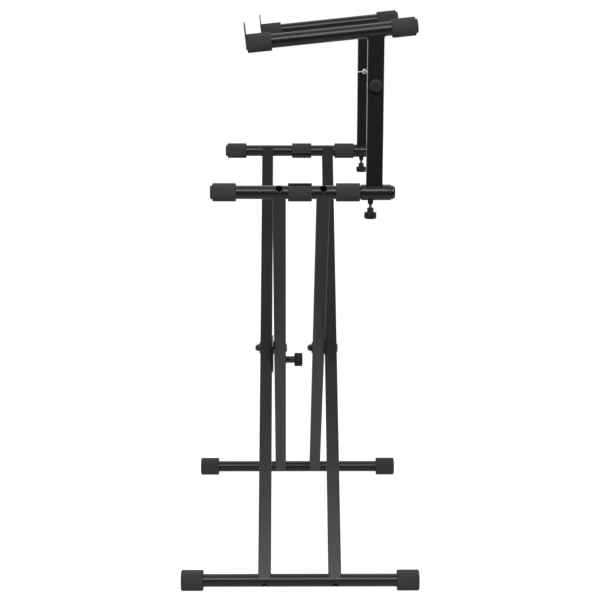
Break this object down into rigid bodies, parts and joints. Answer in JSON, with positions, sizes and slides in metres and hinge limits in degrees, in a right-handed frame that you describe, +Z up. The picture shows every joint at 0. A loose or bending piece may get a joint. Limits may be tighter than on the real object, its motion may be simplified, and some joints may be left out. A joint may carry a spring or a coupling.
{
  "type": "folding keyboard stand",
  "caption": "Folding X-frame keyboard stand with double-braced legs, a spring lock at the pivot and a second tier of sloping arms on clamp-on posts.",
  "frame": {"origin": "on the floor, under the pivot, midway between the foot bars' ends", "axes": "+X from the player's side to the back, +Y to the player's left, +Z up"},
  "size_m": [0.464, 0.7304, 1.1003],
  "materials": {
    "black_powder_coat": "satin black powder coat with a fine orange peel",
    "ribbed_rubber": "matt black rubber with fine ribs along it",
    "gloss_black_plastic": "smooth black plastic",
    "black_knob_plastic": "finely textured black plastic",
    "bolt_head_plastic": "black plastic moulded round a steel bolt",
    "bright_zinc": "bright zinc plate",
    "bright_steel": "turned steel",
    "black_oxide_steel": "blackened steel",
    "nylon": "black nylon"
  },
  "bodies": {
    "outer_frame": {"right_foot_bar": "black_powder_coat", "right_foot_cap_front": "ribbed_rubber", "right_foot_cap_back": "ribbed_rubber", "outer_leg_front": "black_powder_coat", "outer_leg_back": "black_powder_coat", "outer_leg_inserts": "bright_steel", "outer_leg_screws": "black_oxide_steel", "left_arm_tube": "black_powder_coat", "left_arm_cap": "ribbed_rubber", "left_arm_grip_mid": "ribbed_rubber", "left_arm_grip_back": "ribbed_rubber", "left_arm_plug": "gloss_black_plastic", "lock_disc": "black_powder_coat", "pivot_bolts": "black_oxide_steel", "pivot_nuts": "black_oxide_steel", "pivot_nut_washers": "black_oxide_steel", "pivot_spacers": "nylon"},
    "inner_frame": {"left_foot_bar": "black_powder_coat", "left_foot_cap_front": "ribbed_rubber", "left_foot_cap_back": "ribbed_rubber", "inner_leg_front": "black_powder_coat", "inner_leg_back": "black_powder_coat", "inner_leg_inserts": "bright_steel", "inner_leg_screws": "black_oxide_steel", "right_arm_tube": "black_powder_coat", "right_arm_cap": "ribbed_rubber", "right_arm_grip_mid": "ribbed_rubber", "right_arm_grip_back": "ribbed_rubber", "right_arm_plug": "gloss_black_plastic", "pivot_bushes": "nylon", "plunger_housing": "black_oxide_steel", "plunger_spring": "bright_steel"},
    "lock_plunger": {"plunger_pin": "bright_steel", "plunger_knob": "black_knob_plastic"},
    "right_bracket": {"right_collar": "black_powder_coat", "right_clamp_nut": "black_oxide_steel", "right_post_stub": "black_powder_coat"},
    "right_upper_arm": {"right_post": "black_powder_coat", "right_post_bolt": "bolt_head_plastic", "right_upper_tube": "black_powder_coat", "right_stop_lip": "black_powder_coat", "right_upper_grip": "ribbed_rubber", "right_upper_cap": "ribbed_rubber"},
    "right_clamp": {"right_clamp_screw": "black_oxide_steel", "right_clamp_knob": "black_knob_plastic"},
    "right_wing_nut": {"right_wing_nut": "bright_zinc"},
    "left_bracket": {"left_collar": "black_powder_coat", "left_clamp_nut": "black_oxide_steel", "left_post_stub": "black_powder_coat"},
    "left_upper_arm": {"left_post": "black_powder_coat", "left_post_bolt": "bolt_head_plastic", "left_upper_tube": "black_powder_coat", "left_stop_lip": "black_powder_coat", "left_upper_grip": "ribbed_rubber", "left_upper_cap": "ribbed_rubber"},
    "left_clamp": {"left_clamp_screw": "black_oxide_steel", "left_clamp_knob": "black_knob_plastic"},
    "left_wing_nut": {"left_wing_nut": "bright_zinc"}
  },
  "joints": [
    {"name": "fold", "type": "hinge", "parent": "outer_frame", "child": "inner_frame", "pos_m": [0, 0, 0.40092], "axis": [1, 0, 0], "range_deg": [-78, 26]},
    {"name": "lock_pull", "type": "slide", "parent": "inner_frame", "child": "lock_plunger", "axis": [1, 0, 0], "range_m": [-0.006, 0], "stiffness_N_per_m": 800, "springref_m": -0.012},
    {"name": "right_collar_turn", "type": "hinge", "parent": "inner_frame", "child": "right_bracket", "pos_m": [0.1348, -0.345, 0.782], "axis": [1, 0, 0], "range_deg": [-26, 78]},
    {"name": "left_collar_turn", "type": "hinge", "parent": "outer_frame", "child": "left_bracket", "pos_m": [0.1505, 0.345, 0.782], "axis": [1, 0, 0], "range_deg": [-20, 90]},
    {"name": "right_height", "type": "slide", "parent": "right_bracket", "child": "right_upper_arm", "axis": [0, 0, 1], "range_m": [0, 0.07]},
    {"name": "right_clamp_turn", "type": "hinge", "parent": "right_bracket", "child": "right_clamp", "pos_m": [0.1282, -0.345, 0.745], "axis": [0, 0, 1], "continuous": true},
    {"name": "right_wing_nut_turn", "type": "hinge", "parent": "right_upper_arm", "child": "right_wing_nut", "pos_m": [0.1348, -0.33, 0.978], "axis": [0, 1, 0], "continuous": true},
    {"name": "left_height", "type": "slide", "parent": "left_bracket", "child": "left_upper_arm", "axis": [0, 0, 1], "range_m": [0, 0.07]},
    {"name": "left_clamp_turn", "type": "hinge", "parent": "left_bracket", "child": "left_clamp", "pos_m": [0.146, 0.345, 0.745], "axis": [0, 0, 1], "continuous": true},
    {"name": "left_wing_nut_turn", "type": "hinge", "parent": "left_upper_arm", "child": "left_wing_nut", "pos_m": [0.1505, 0.33, 0.963], "axis": [0, 1, 0], "continuous": true}
  ],
  "couplings": [
    {"joint": "right_collar_turn", "follows": "fold", "ratio": -1}
  ]
}
